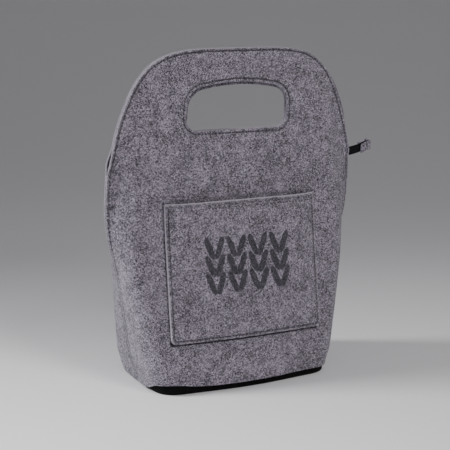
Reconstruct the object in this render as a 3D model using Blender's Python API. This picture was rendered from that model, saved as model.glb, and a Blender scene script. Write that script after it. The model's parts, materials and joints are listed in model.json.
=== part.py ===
"""Felt knitting bag: two arched felt panels with hand openings, a front pocket, a zipped mouth
with a folded tail, and a black base. All driving dimensions are in millimetres.

Each felt sheet is bent from a flat pattern. A pattern point is (s, z): s runs across the panel
from its centre line to the side seam and z is the height above the floor.
"""
import math
from functools import lru_cache

import bmesh
import bpy
import numpy as np

# Felt body
FELT = 3.0              # thickness of every felt sheet
GAP = 0.3               # air left between neighbouring sheets
HALF_WIDTH = 158.0      # half of one flat panel at the mouth, centre line to seam edge
HEM_HALF_WIDTH = 164.0  # the same at the floor, where the panels are a little wider
MOUTH_Z = 237.0         # height where the side seams end and the handles start
ARCH_RISE = 135.0       # handle arch above the mouth
ARCH_TAPER = 0.24       # how far the arch's flanks lean in over its rise
ARCH_POWER = 4.7        # superellipse power that rounds the arch's top corners
TOP_DEPTH = 7.4         # handle's outer sheet from the middle plane, at its centre
CLOSING_HEIGHT = 65.0   # height above the mouth over which the handles close to that depth
EDGE_DEPTH = 5.1        # the same along the handle's cut edges, where the handles nearly touch
EDGE_HEIGHT = 15.0
HEM_BOW, BOW_HALF, BOW_HEIGHT = 6.0, 100.0, 130.0  # outward bulge of the panels near the floor
HEM_Z = 8.0             # lower edge of the felt above the floor
HEM_TUCK = 2.5          # how far the felt rounds in at its lower edge
TUCK_HEIGHT = 20.0

# Bending of the panels across their width (arc lengths along the pattern, headings in degrees)
HEM_CORNER, HEM_CORNER_LENGTH = 105.0, 60.0
MOUTH_CORNER, MOUTH_CORNER_LENGTH = 143.0, 26.0
CORNER_RUN = 1.68       # above 1 the corners tighten mostly in the lower half
PINCH_START = 0.45      # share of the mouth height where the side seams begin to pinch
LIP_START, LIP_RAMP, LIP_HEADING = 119.0, 12.0, 35.0
SEAM_START, SEAM_RAMP = 146.0, 7.0
LIP_RUN = 24.75         # arc length over which a lip holds its heading
LIP_INNERMOST = 112.0   # lips follow the arch's edge inward no further than this
FRONT_SHIFT = (-1.8, 0.0)   # sideways and downward shift of each handle against the body
REAR_SHIFT = (6.2, 5.0)
SHIFT_HEIGHT = 70.0

# Hand opening through both handles
OPENING_WIDTH, OPENING_Z, OPENING_HEIGHT = 126.0, 283.0, 52.0
OPENING_LOWER_R, OPENING_UPPER_R, OPENING_ARCH = 13.0, 22.0, 4.0

# Front pocket
POCKET_HALF, POCKET_Z = 95.0, 56.0
POCKET_FULLNESS = 6.5

# Black base and its stiffening board
BASE_WALL, BASE_TOP, BASE_FLOOR, BASE_EDGE = 2.5, 15.0, 3.0, 1.2
BOARD_THICK, BOARD_INSET = 2.5, 0.6

# Zip in the mouth
ZIP_Z = 242.0
FLAP_HALF = 98.0        # the folding length of the tapes reaches this far either side
HINGE_Y = 10.0          # fold line of each tape from the middle plane
SLIT_HALF, TAPE_INNER, TAPE_THICK = 0.5, 3.0, 0.7
COIL_TIP, COIL_ROOT, COIL_BACK, COIL_HIGH, COIL_PITCH = 0.7, 1.5, 2.7, 1.8, 3.0
SLIDER_HALF, SLIDER_PARK = 6.5, 112.0
STOP_LENGTH = 2.2
LEFT_END, TAIL_END = 144.0, 181.0
FOLD_START, FOLD_LENGTH, FOLD_ANGLE = 122.5, 20.0, 84.0
TAIL_RISE, TAIL_STRAIGHT = 0.004, 150.0
TAB_LENGTH, TAB_HEIGHT, TAB_THICK = 13.5, 11.0, 2.0

# Pattern lines shared by all sheets, so neighbouring sheets stay parallel
COLUMNS = [0, 30, 56, 72, 82, 91, 100, 109, 117, 125, 132, 139, 146, 152, 158]
ROWS = [8, 15, 25, 38, 56, 82, 110, 138, 160, 178, 194, 207, 222, 237]
ARCH_STEPS = [0.04, 0.10, 0.20, 0.35, 0.50, 0.62, 0.72, 0.80, 0.86, 0.91, 0.945, 0.97, 0.988, 1.0]
POCKET_COLUMNS = [0, 20, 40, 56, 68, 78, 87, 95]
POCKET_ROWS = [56, 62, 70, 82, 96, 110, 138, 160, 178, 194, 207]


def clear_scene():
    for obj in list(bpy.data.objects):
        bpy.data.objects.remove(obj, do_unlink=True)


def material(name, colour, roughness, metallic=0.0):
    mat = bpy.data.materials.new(name)
    mat.use_nodes = True
    shader = mat.node_tree.nodes["Principled BSDF"]
    shader.inputs["Base Color"].default_value = (*colour, 1.0)
    shader.inputs["Roughness"].default_value = roughness
    shader.inputs["Metallic"].default_value = metallic
    mat.diffuse_color = (*colour, 1.0)
    return mat


def ease(value):
    value = np.clip(value, 0.0, 1.0)
    return value * value * (3.0 - 2.0 * value)


def half_width(z):
    """Half width of the flat panel at height z, below the mouth."""
    return HEM_HALF_WIDTH + (HALF_WIDTH - HEM_HALF_WIDTH) * min(z / MOUTH_Z, 1.0)


def lip(from_edge):
    """Share of the lip's full heading; from_edge is HALF_WIDTH at the seam or cut edge."""
    return ease((from_edge - LIP_START) / LIP_RAMP) - ease((from_edge - SEAM_START) / SEAM_RAMP)


def centre_depth(z):
    """Distance of the outer sheet's centre line from the middle plane, above the mouth."""
    return TOP_DEPTH + (mouth_depth() - TOP_DEPTH) * (1.0 - ease((z - MOUTH_Z) / CLOSING_HEIGHT))


def handle_heading(s, z):
    """Bend of a handle: its cut edges lean in towards the other handle along the whole arch."""
    seam_depth = (FELT + GAP) / 2
    edge_depth = seam_depth + (EDGE_DEPTH - seam_depth) * ease((z - MOUTH_Z) / EDGE_HEIGHT)
    edge = max(edge_limit(z), LIP_INNERMOST)
    return math.asin((centre_depth(z) - edge_depth) / LIP_RUN) * lip(s - edge + HALF_WIDTH)


def heading(s, z):
    """Bend of the sheet away from the X direction at pattern point (s, z), in radians."""
    if z > MOUTH_Z:
        return handle_heading(s, z)
    rise = z / MOUTH_Z
    run = rise * (CORNER_RUN - (CORNER_RUN - 1.0) * rise)
    corner = HEM_CORNER + (MOUTH_CORNER - HEM_CORNER) * run
    length = HEM_CORNER_LENGTH + (MOUTH_CORNER_LENGTH - HEM_CORNER_LENGTH) * run
    round_end = 90.0 * ease((s - corner) / length + 0.5)
    pinch = ease((rise - PINCH_START) / (1.0 - PINCH_START))
    pinched = LIP_HEADING * lip(s - half_width(z) + HALF_WIDTH)
    return np.radians((1.0 - pinch) * round_end + pinch * pinched)


def section(z):
    """Middle line of the front sheet at height z: arrays of s, x and y."""
    s = np.linspace(0.0, half_width(z), 317)
    turn = heading(s, z)
    step = s[1] - s[0]
    x = np.concatenate([[0.0], np.cumsum((np.cos(turn[1:]) + np.cos(turn[:-1])) * step / 2)])
    y = np.concatenate([[0.0], np.cumsum((np.sin(turn[1:]) + np.sin(turn[:-1])) * step / 2)])
    if z > MOUTH_Z:
        return s, x, y - centre_depth(z)
    seam = -GAP / 2 - (FELT / 2 + tuck(z)) * math.cos(turn[-1])
    bow = HEM_BOW * (1.0 - ease(z / BOW_HEIGHT)) * np.clip(1.0 - (s / BOW_HALF) ** 2, 0.0, 1.0) ** 2
    return s, x, y - y[-1] + seam - bow


@lru_cache
def mouth_depth():
    return -section(MOUTH_Z)[2][0]


def bag_point(s, z):
    line, x, y = section(z)
    side = abs(s)
    return np.array([math.copysign(np.interp(side, line, x), s), np.interp(side, line, y), z])


def bag_normal(s, z):
    """Outward normal of the front sheet in the horizontal plane."""
    turn = float(heading(abs(s), z))
    return np.array([math.copysign(math.sin(turn), s), -math.cos(turn), 0.0])


def tuck(z):
    return HEM_TUCK * (1.0 - float(ease((z - HEM_Z) / TUCK_HEIGHT)))


def edge_limit(z):
    """Half width of the panel's outline at height z: the side seam, then the handle arch."""
    if z <= MOUTH_Z:
        return half_width(z)
    rise = min((z - MOUTH_Z) / ARCH_RISE, 1.0)
    flank = HALF_WIDTH * (1.0 - ARCH_TAPER * rise)
    return max(flank * (1.0 - rise ** ARCH_POWER) ** (1.0 / ARCH_POWER), 0.1 * HALF_WIDTH)


def both_sides(values):
    return [-v for v in reversed(values[1:])] + list(values)


def handle_shift(z, shift):
    """How far a handle that hangs a little askew has moved at height z, as a vector."""
    share = float(ease((z - MOUTH_Z) / SHIFT_HEIGHT))
    return np.array([shift[0] * share, 0.0, -shift[1] * share])


def panel_grid(offset, shift):
    """Pattern grid of a whole panel, moved outward by offset(z). Returns rows of points."""
    grid = []
    for z in ROWS + [MOUTH_Z + ARCH_RISE * step for step in ARCH_STEPS]:
        scale = edge_limit(z) / HALF_WIDTH
        places = [column * scale for column in both_sides(COLUMNS)]
        moved = handle_shift(z, shift)
        grid.append([(bag_point(s, z) + moved, bag_normal(s, z), offset(z)) for s in places])
    return grid


def add_mesh(name, verts, faces, mat, mirror=False):
    """Make one object from millimetre points; mirror flips it to the rear of the bag."""
    flip = -1.0 if mirror else 1.0
    mesh = bpy.data.meshes.new(name)
    mesh.from_pydata([(v[0] * 0.001, v[1] * flip * 0.001, v[2] * 0.001) for v in verts], [], faces)
    shape = bmesh.new()
    shape.from_mesh(mesh)
    bmesh.ops.recalc_face_normals(shape, faces=shape.faces)
    shape.to_mesh(mesh)
    shape.free()
    mesh.materials.append(mat)
    obj = bpy.data.objects.new(name, mesh)
    bpy.context.scene.collection.objects.link(obj)
    return obj


def shade_smooth(obj, angle=40.0):
    """Smooth shading with creases left sharp."""
    obj.data.polygons.foreach_set("use_smooth", [True] * len(obj.data.polygons))
    shape = bmesh.new()
    shape.from_mesh(obj.data)
    for edge in shape.edges:
        edge.smooth = len(edge.link_faces) == 2 and edge.calc_face_angle(0.0) < math.radians(angle)
    shape.to_mesh(obj.data)
    shape.free()


def sheet(name, grid, mat, keep=None, mirror=False, thick=FELT):
    """Closed sheet from a grid of (point, normal, offset); keep(i, j) picks the cells used."""
    rows, cols = len(grid), len(grid[0])
    cells = {(i, j) for i in range(rows - 1) for j in range(cols - 1) if keep is None or keep(i, j)}
    verts, index, faces = [], {}, []

    def vertex(i, j, outer):
        if (i, j, outer) not in index:
            point, normal, offset = grid[i][j]
            index[i, j, outer] = len(verts)
            verts.append(point + normal * (offset + (thick / 2 if outer else -thick / 2)))
        return index[i, j, outer]

    for i, j in sorted(cells):
        ring = [(i, j), (i, j + 1), (i + 1, j + 1), (i + 1, j)]
        for triangle in (ring[:3], [ring[0], *ring[2:]]):
            faces.append([vertex(a, b, True) for a, b in triangle])
            faces.append([vertex(a, b, False) for a, b in reversed(triangle)])
        sides = [(i - 1, j), (i, j + 1), (i + 1, j), (i, j - 1)]
        for n, neighbour in enumerate(sides):
            if neighbour not in cells:
                (a, b), (c, d) = ring[n], ring[(n + 1) % 4]
                faces.append([vertex(c, d, True), vertex(a, b, True),
                              vertex(a, b, False), vertex(c, d, False)])
    obj = add_mesh(name, verts, faces, mat, mirror)
    shade_smooth(obj)
    return obj


def rounded_opening(shift):
    """Outline of a handle's hand opening in the XZ plane, anticlockwise."""
    half, low, high = OPENING_WIDTH / 2, OPENING_Z, OPENING_Z + OPENING_HEIGHT
    shoulder = high - OPENING_ARCH
    corners = [(-half, low, OPENING_LOWER_R, 180), (half, low, OPENING_LOWER_R, 270),
               (half, shoulder, OPENING_UPPER_R, 0)]
    points = []
    for x, z, radius, start in corners:
        cx = x - math.copysign(radius, x)
        cz = z + (radius if z == low else -radius)
        for step in range(5):
            angle = math.radians(start + step * 22.5)
            points.append((cx + radius * math.cos(angle), cz + radius * math.sin(angle)))
    crown = half - OPENING_UPPER_R
    for step in range(1, 6):
        x = crown * (1 - step / 3)
        points.append((x, shoulder + OPENING_ARCH * (1 - (x / crown) ** 2)))
    for step in range(5):
        angle = math.radians(90 + step * 22.5)
        points.append((-crown + OPENING_UPPER_R * math.cos(angle),
                       shoulder - OPENING_UPPER_R + OPENING_UPPER_R * math.sin(angle)))
    moves = [handle_shift(z, shift) for _, z in points]
    return [(x + move[0], z + move[2]) for (x, z), move in zip(points, moves)]


def prism(name, outline, axis, start, end, mat):
    """Straight prism of a 2D outline along X (outline is y, z) or along Y (outline is x, z)."""
    def place(point, along):
        return (along, *point) if axis == "X" else (point[0], along, point[1])

    count = len(outline)
    verts = [place(p, start) for p in outline] + [place(p, end) for p in outline]
    faces = [list(range(count))[::-1], list(range(count, 2 * count))]
    faces += [[n, (n + 1) % count, count + (n + 1) % count, count + n] for n in range(count)]
    return add_mesh(name, verts, faces, mat)


def cut_opening(side, shift, targets, mat):
    near, far = (0.0, 60.0) if side == "rear" else (-60.0, 0.0)
    cutter = prism(side + "_opening_cutter", rounded_opening(shift), "Y", near, far, mat)
    cutter.hide_render = True
    cutter.display_type = "WIRE"
    for obj in targets:
        cut = obj.modifiers.new("hand opening", "BOOLEAN")
        cut.operation, cut.solver, cut.object = "DIFFERENCE", "EXACT", cutter


def facing_cell(i, j):
    """Cells of the panel grid that also carry the inner handle layer."""
    first = ROWS.index(222)
    full = len(ROWS) + 2
    columns = both_sides(COLUMNS)
    inside = columns[j] >= -117 and columns[j + 1] <= 117
    return i >= first and (inside or i >= full)


def build_felt(felt, facing_felt):
    for side, mirror, shift in (("front", False, FRONT_SHIFT), ("rear", True, REAR_SHIFT)):
        outer = panel_grid(lambda z: -tuck(z), shift)
        inner = panel_grid(lambda z: -FELT - GAP, shift)
        panel = sheet(side + "_panel", outer, felt, mirror=mirror)
        facing = sheet(side + "_handle_facing", inner, facing_felt, facing_cell, mirror)
        cut_opening(side, shift, [panel, facing], felt)


def pocket_fullness(s, z):
    across = 1.0 - (s / POCKET_HALF) ** 6
    upward = float(ease((z - POCKET_Z) / 45.0))
    return POCKET_FULLNESS * across * upward


def build_pocket(felt):
    grid = []
    for z in POCKET_ROWS:
        row = []
        for s in both_sides(POCKET_COLUMNS):
            lift = FELT + GAP + pocket_fullness(s, z)
            row.append((bag_point(s, z), bag_normal(s, z), lift))
        grid.append(row)
    return sheet("front_pocket", grid, felt)


def bag_loop(z, inward, height):
    """Closed loop round the whole bag, inward of the felt's middle surface at height z."""
    front = []
    for column in both_sides(COLUMNS):
        s = column * half_width(z) / HALF_WIDTH
        point = bag_point(s, z) - bag_normal(s, z) * (tuck(z) + inward)
        front.append((point[0], point[1], height))
    rear = [(x, -y, h) for x, y, h in reversed(front)]
    return front + rear


def loft(name, loops, mat):
    """Closed solid through loops of equal length, capped at both ends."""
    count = len(loops[0])
    verts = [p for loop in loops for p in loop]
    faces = [list(range(count))[::-1], list(range(len(verts) - count, len(verts)))]
    for level in range(len(loops) - 1):
        a, b = level * count, (level + 1) * count
        faces += [[a + n, a + (n + 1) % count, b + (n + 1) % count, b + n] for n in range(count)]
    obj = add_mesh(name, verts, faces, mat)
    shade_smooth(obj)
    return obj


def build_base(black, board):
    out = FELT / 2 + GAP
    wall = out + BASE_WALL
    outer = [(HEM_Z, out + BASE_EDGE, 0.0), (HEM_Z, out, BASE_EDGE), (HEM_Z, out, HEM_Z),
             (BASE_TOP, out + GAP, BASE_TOP)]
    inner = [(BASE_TOP, wall, BASE_TOP), (HEM_Z, wall, HEM_Z), (HEM_Z, wall, BASE_FLOOR)]
    loft("base_panel", [bag_loop(*step) for step in outer + inner], black)
    low = BASE_FLOOR + GAP
    edge = wall + BOARD_INSET
    loft("base_board", [bag_loop(HEM_Z, edge, low), bag_loop(HEM_Z, edge, low + BOARD_THICK)], board)


def tail_height(x):
    """Height of the zip's middle line; the tail lifts out over the right-hand seam."""
    if x <= FOLD_START:
        return ZIP_Z
    bend = min(x, TAIL_STRAIGHT) - FOLD_START
    rise = TAIL_RISE * bend ** 2
    return ZIP_Z + rise + 2 * TAIL_RISE * bend * max(x - TAIL_STRAIGHT, 0.0)


def fixed_tape(name, stations, right, black, mirror):
    """Sewn-down end of a tape: set back beside the coil at first, full width past the stops."""
    grid = []
    for x in stations:
        fold = math.radians(FOLD_ANGLE * float(ease((abs(x) - FOLD_START) / FOLD_LENGTH)))
        height = tail_height(x) if right else ZIP_Z
        row = []
        for across in (SLIT_HALF, TAPE_INNER, HINGE_Y):
            reach = across - SLIT_HALF
            point = (x, -SLIT_HALF - reach * math.cos(fold), height + reach * math.sin(fold))
            row.append((np.array(point), np.array([0.0, math.sin(fold), math.cos(fold)]), 0.0))
        grid.append(row)
    return sheet(name, grid, black, lambda i, j: i > 0 or j > 0, mirror, TAPE_THICK)


def coil(name, start, end, mat, mirror):
    """One row of the zip: a straight back with short teeth towards the middle slit."""
    count = max(int((end - start) / COIL_PITCH), 1)
    pitch = (end - start) / count
    edge = []
    for n in range(count):
        x = start + n * pitch
        edge += [(x, COIL_TIP), (x + pitch * 0.5, COIL_TIP), (x + pitch * 0.5, COIL_ROOT),
                 (x + pitch, COIL_ROOT)]
    edge += [(end, COIL_BACK), (start, COIL_BACK)]
    low = [(x, -y, ZIP_Z - COIL_HIGH / 2) for x, y in edge]
    high = [(x, -y, ZIP_Z + COIL_HIGH / 2) for x, y in edge]
    size = len(edge)
    faces = [list(range(size)), list(range(size, 2 * size))[::-1]]
    faces += [[n, (n + 1) % size, size + (n + 1) % size, size + n] for n in range(size)]
    return add_mesh(name, low + high, faces, mat, mirror)


def box(name, low, high, mat):
    (x0, y0, z0), (x1, y1, z1) = low, high
    return prism(name, [(y0, z0), (y1, z0), (y1, z1), (y0, z1)], "X", x0, x1, mat)


def move_origin(obj, point):
    """Put the object's origin at a millimetre point without moving its shape."""
    target = [c * 0.001 for c in point]
    for vert in obj.data.vertices:
        vert.co = [vert.co[n] - target[n] for n in range(3)]
    obj.location = target


def build_tapes(black):
    slot = GAP + 0.1
    stop_end = SLIDER_PARK + SLIDER_HALF + GAP + STOP_LENGTH
    marks = [FLAP_HALF + slot, stop_end + GAP]
    bends = [126.0, 130.0, 134.0, 138.0]
    for side, mirror in (("front", False), ("rear", True)):
        sign = 1.0 if mirror else -1.0
        flap = box("zip_tape_" + side,
                   (-FLAP_HALF, min(sign * HINGE_Y, sign * TAPE_INNER), ZIP_Z - TAPE_THICK / 2),
                   (FLAP_HALF, max(sign * HINGE_Y, sign * TAPE_INNER), ZIP_Z + TAPE_THICK / 2),
                   black)
        move_origin(flap, (0.0, sign * HINGE_Y, ZIP_Z))
        left = [-x for x in marks + bends + [LEFT_END]]
        fixed_tape("zip_tape_" + side + "_left", left, False, black, mirror)
        right = marks + bends + [LEFT_END, TAIL_STRAIGHT, TAIL_END]
        fixed_tape("zip_tape_" + side + "_tail", right, True, black, mirror)


def build_coils(nylon):
    slot = GAP + 0.1
    inner = FLAP_HALF + slot
    outer = SLIDER_PARK + SLIDER_HALF + 0.1
    for side, mirror in (("front", False), ("rear", True)):
        row = coil("zip_coil_" + side, -FLAP_HALF, FLAP_HALF, nylon, mirror)
        move_origin(row, (0.0, HINGE_Y if mirror else -HINGE_Y, ZIP_Z))
        coil("zip_coil_" + side + "_left", -outer, -inner, nylon, mirror)
        coil("zip_coil_" + side + "_right", inner, outer, nylon, mirror)


def clip_outline(inner, outer, half_high, tape_slot):
    """C-shaped clip closed towards the middle plane and open towards the tape."""
    wall = 0.7
    return [(inner, -half_high), (outer, -half_high), (outer, -tape_slot), (inner + wall, -tape_slot),
            (inner + wall, tape_slot), (outer, tape_slot), (outer, half_high), (inner, half_high)]


def at_zip(outline, sign=1.0):
    return [(sign * y, ZIP_Z + z) for y, z in outline]


def build_stops(metal):
    start = SLIDER_PARK + SLIDER_HALF + GAP
    slot = TAPE_THICK / 2 + GAP
    for side, sign in (("front", -1.0), ("rear", 1.0)):
        outline = clip_outline(0.6, 4.2, 1.5, slot)
        prism("zip_top_stop_" + side, at_zip(outline, sign), "X", -start - STOP_LENGTH, -start, metal)
    half = [(4.2, -1.5), (4.2, -slot), (0.9, -slot), (0.9, slot), (4.2, slot), (4.2, 1.5)]
    outline = half + [(-y, z) for y, z in reversed(half)]
    prism("zip_bottom_stop", at_zip(outline), "X", start, start + STOP_LENGTH, metal)


def build_slider(metal, pull_metal):
    """Slider parked at the left end: two plates and a middle post, a bail and the pull tab."""
    x = -SLIDER_PARK
    plate, flange = COIL_HIGH / 2 + GAP, TAPE_THICK / 2 + GAP
    top, side, lip = 2.3, 4.2, COIL_BACK + GAP
    section_half = [(0.4, plate), (lip, plate), (lip, flange), (side, flange), (side, top)]
    right = [(y, -z) for y, z in reversed(section_half)] + section_half
    outline = right + [(-y, z) for y, z in reversed(section_half)]
    outline += [(-y, -z) for y, z in section_half]
    open_plates = section_half + [(-y, z) for y, z in reversed(section_half)]
    upper = [p for p in open_plates if p != (0.4, plate) and p != (-0.4, plate)]
    lower = [(y, -z) for y, z in upper]
    body = prism("zip_slider_body", at_zip(outline), "X", x - SLIDER_HALF, x - 2.0, metal)
    for half, label in ((upper, "upper"), (lower, "lower")):
        part = prism("slider_" + label, at_zip(half), "X", x - 2.2, x + SLIDER_HALF, metal)
        part.hide_render = True
        part.display_type = "WIRE"
        join = body.modifiers.new(label + " plate", "BOOLEAN")
        join.operation, join.solver, join.object = "UNION", "EXACT", part
    low = ZIP_Z + top + GAP
    arch = [(x - 5.0, low), (x - 3.8, low), (x - 3.2, low + 1.9), (x + 3.2, low + 1.9),
            (x + 3.8, low), (x + 5.0, low), (x + 4.2, low + 3.1), (x - 4.2, low + 3.1)]
    bail = prism("zip_slider_bail", arch, "Y", -0.8, 0.8, metal)
    axis_z = low + 0.9
    verts, faces = pull_tab_shape()
    tab = add_mesh("zip_pull_tab", [(x + a, b, axis_z + c) for a, b, c in verts], faces, pull_metal)
    for obj in (body, bail):
        move_origin(obj, (x, 0.0, ZIP_Z))
    move_origin(tab, (x, 0.0, axis_z))


def pull_tab_shape():
    """Flat tab with a rectangular eye; the crossbar of the eye is the pivot at the origin."""
    eye = [(0.6, -1.3), (6.3, -1.3), (6.3, 1.3), (0.6, 1.3)]
    outer = [(-0.6, -2.5), (6.3, -2.5), (19.2, -3.0), (21.0, -1.8), (21.0, 1.8), (19.2, 3.0),
             (6.3, 2.5), (-0.6, 2.5)]
    top = 0.55
    verts = [(x, y, z) for z in (-top, top) for x, y in outer + eye]
    faces = []
    for base, flip in ((0, True), (12, False)):
        cells = [[0, 1, 9, 8], [1, 6, 10, 9], [6, 7, 11, 10], [7, 0, 8, 11], [1, 2, 5, 6], [2, 3, 4, 5]]
        for cell in cells:
            face = [base + n for n in cell]
            faces.append(face[::-1] if flip else face)
    faces += [[n, (n + 1) % 8, 12 + (n + 1) % 8, 12 + n] for n in range(8)]
    faces += [[8 + n, 20 + n, 20 + (n + 1) % 4, 8 + (n + 1) % 4] for n in range(4)]
    return verts, faces


def build_end_tab(felt):
    """Felt folded round the end of the tail, rising with the tail's slope."""
    start = TAIL_END - TAB_LENGTH + TAB_THICK + GAP
    inside = 3.2
    outline = [(0.0, inside), (0.0, inside + TAB_THICK), (TAB_LENGTH, inside + TAB_THICK),
               (TAB_LENGTH, -inside - TAB_THICK), (0.0, -inside - TAB_THICK), (0.0, -inside),
               (TAB_LENGTH - TAB_THICK, -inside), (TAB_LENGTH - TAB_THICK, inside)]
    verts = [(start + along, y, tail_height(start + along) + height)
             for height in (-1.0, TAB_HEIGHT - 1.0) for along, y in outline]
    faces = [list(range(8)), list(range(8, 16))[::-1]]
    faces += [[n, (n + 1) % 8, 8 + (n + 1) % 8, 8 + n] for n in range(8)]
    return add_mesh("zip_end_tab", verts, faces, felt)


def build():
    clear_scene()
    felt = material("grey_wool_felt", (0.175, 0.155, 0.185), 0.95)
    facing_felt = material("grey_felt_facing", (0.165, 0.147, 0.175), 0.95)
    black = material("black_base_cloth", (0.012, 0.012, 0.013), 0.75)
    board = material("grey_board", (0.30, 0.29, 0.27), 0.85)
    tape = material("black_zip_tape", (0.014, 0.014, 0.016), 0.85)
    nylon = material("black_zip_nylon", (0.020, 0.020, 0.022), 0.45)
    metal = material("dark_zip_metal", (0.10, 0.10, 0.11), 0.35, 1.0)
    build_felt(felt, facing_felt)
    build_pocket(felt)
    build_base(black, board)
    build_tapes(tape)
    build_coils(nylon)
    build_stops(metal)
    build_slider(metal, metal)
    build_end_tab(felt)


build()
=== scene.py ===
"""Visual model of a grey felt knitting bag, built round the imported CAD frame.

Pattern coordinates are in millimetres: s runs across a panel from its centre line, z is the height
above the floor. Every felt layer is bent from the same flat pattern as the CAD sheets.
"""

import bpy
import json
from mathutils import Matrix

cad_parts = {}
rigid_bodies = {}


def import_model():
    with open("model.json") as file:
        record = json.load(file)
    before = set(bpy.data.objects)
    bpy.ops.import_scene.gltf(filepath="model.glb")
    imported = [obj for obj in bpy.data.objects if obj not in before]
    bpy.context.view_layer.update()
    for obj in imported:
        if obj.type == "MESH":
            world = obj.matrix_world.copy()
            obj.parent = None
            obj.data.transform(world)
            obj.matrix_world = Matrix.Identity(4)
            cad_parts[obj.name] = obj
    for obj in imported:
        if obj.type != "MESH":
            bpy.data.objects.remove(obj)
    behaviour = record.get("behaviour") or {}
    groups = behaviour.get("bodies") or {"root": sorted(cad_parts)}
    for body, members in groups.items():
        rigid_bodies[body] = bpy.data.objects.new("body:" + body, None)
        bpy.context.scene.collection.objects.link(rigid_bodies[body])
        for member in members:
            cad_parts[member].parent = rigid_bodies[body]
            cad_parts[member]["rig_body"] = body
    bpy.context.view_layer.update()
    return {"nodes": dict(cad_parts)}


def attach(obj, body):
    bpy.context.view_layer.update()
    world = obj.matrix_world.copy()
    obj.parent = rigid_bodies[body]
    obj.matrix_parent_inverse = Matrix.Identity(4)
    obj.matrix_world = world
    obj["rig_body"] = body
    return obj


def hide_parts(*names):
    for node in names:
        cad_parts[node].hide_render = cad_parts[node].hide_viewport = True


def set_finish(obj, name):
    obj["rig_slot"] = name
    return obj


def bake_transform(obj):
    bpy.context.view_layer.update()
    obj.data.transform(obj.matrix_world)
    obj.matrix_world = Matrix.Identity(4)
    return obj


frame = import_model()

import json
import math

import bmesh
import bpy
import numpy as np
from mathutils import Matrix, Vector
from mathutils.kdtree import KDTree

MM = 0.001

# Felt body
FELT, GAP = 3.0, 0.3                        # sheet thickness, air between neighbouring sheets
HALF_WIDTH, HEM_HALF_WIDTH = 158.0, 164.0   # half of a flat panel at the mouth and at the floor
MOUTH_Z, ARCH_RISE, ARCH_TAPER, ARCH_POWER = 237.0, 135.0, 0.24, 4.7
TOP_Z = MOUTH_Z + ARCH_RISE
TOP_DEPTH, CLOSING_HEIGHT, EDGE_DEPTH, EDGE_HEIGHT = 7.4, 65.0, 5.1, 15.0
HEM_Z, HEM_TUCK, TUCK_HEIGHT = 8.0, 2.5, 20.0
HEM_BOW, BOW_HALF, BOW_HEIGHT = 6.0, 100.0, 130.0
HEM_CUT_Z, END_SAG, SAG_START, SAG_RAMP = 7.4, 6.4, 116.0, 24.0
HEM_LIFTS = [(4.4, -96.0, 26.0), (0.8, 70.0, 30.0)]   # height, place along the hem, half width

# Bending across the width: arc lengths along the pattern, headings in degrees
HEM_CORNER, HEM_CORNER_LENGTH = 105.0, 60.0
MOUTH_CORNER, MOUTH_CORNER_LENGTH = 143.0, 26.0
CORNER_RUN, PINCH_START = 1.68, 0.45
LIP_START, LIP_RAMP, LIP_HEADING = 119.0, 12.0, 35.0
SEAM_START, SEAM_RAMP, LIP_RUN, LIP_INNERMOST = 146.0, 7.0, 24.75, 112.0
FRONT_SHIFT, REAR_SHIFT, SHIFT_HEIGHT = -1.8, 6.2, 70.0   # handles' sideways shift
REAR_DROP = 5.0                                           # the rear handle sits lower

# Hand opening, inner handle layer and pocket
OPENING_WIDTH, OPENING_Z, OPENING_HEIGHT = 126.0, 283.0, 52.0
OPENING_LOWER_R, OPENING_UPPER_R, OPENING_ARCH = 13.0, 22.0, 4.0
FACING_HALF, FACING_LOW, FACING_FLARE_Z, FACING_FLARE = 117.0, 222.0, 243.0, 1.45
POCKET_HALF, POCKET_Z, POCKET_TOP, POCKET_FULLNESS = 95.0, 56.0, 207.0, 6.5
POCKET_CORNER, POCKET_TOP_CORNER = 5.0, 0.8
CREASE_S, CREASE_Z, CREASE_LENGTH, CREASE_WIDTH = -96.0, 55.0, 13.0, 3.0   # by a lower corner
CREASE_HEADING, CREASE_REACH = (-0.85, -0.53), (11.0, 6.9)

# Seams: distance of each row of stitches from its cut edge, stitch length, thread
EDGE_INSET, OPENING_INSET, POCKET_INSET, HEM_INSET, PITCH = 2.9, 3.8, 3.4, 7.2, 4.2
STITCH_SHARE, THREAD_RADIUS, THREAD_RISE, THREAD_DIP = 0.70, 0.42, 0.30, 0.85

# Black base
BASE_WALL, BASE_FLOOR, BASE_RIM = 2.5, 3.0, 15.0

# Zip in the mouth
ZIP_Z, FLAP_HALF, HINGE_Y = 242.0, 98.0, 10.0
FIXED_START, COIL_STOP = 98.4, 121.3                       # fixed tapes; they meet past their coil
TAPE_HALF, TAPE_EDGE_HALF = 0.33, 0.21                     # half thickness, and at the selvedges
TAPE_BY_COIL, TAPE_INNER = 3.0, 0.5                        # inner edge beside the coil and past it
FOLD_START, FOLD_LENGTH, FOLD_ANGLE = 122.5, 20.0, 84.0    # lengthwise fold of the tape's ends
TAIL_START, TAIL_CURL, TAIL_END, LEFT_END = 150.0, 0.0075, 181.0, 144.0
TAB_DROP, TAB_TILT, TAB_MIDDLE = -3.6, 0.12, 176.5
TWIST_START, TWIST_END = 96.0, 58.0                        # a folding flap's tape and coil are split into pieces at TWIST_END
COIL_HALF, COIL_FIXED_START, COIL_FIXED_END = 97.7, 98.7, 118.2
COIL_PITCH, COIL_STEPS, COIL_Y = 1.45, 10, 1.72
COIL_HALF_DEPTH, COIL_HALF_HEIGHT, WIRE_RADIUS = 0.78, 0.62, 0.27


# ---------------------------------------------------------------- pattern

def ease(value):
    value = np.clip(value, 0.0, 1.0)
    return value * value * (3.0 - 2.0 * value)


def half_width(z):
    """Half the width of the flat panel, centre line to seam edge."""
    return HEM_HALF_WIDTH + (HALF_WIDTH - HEM_HALF_WIDTH) * np.clip(z / MOUTH_Z, 0.0, 1.0)


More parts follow.
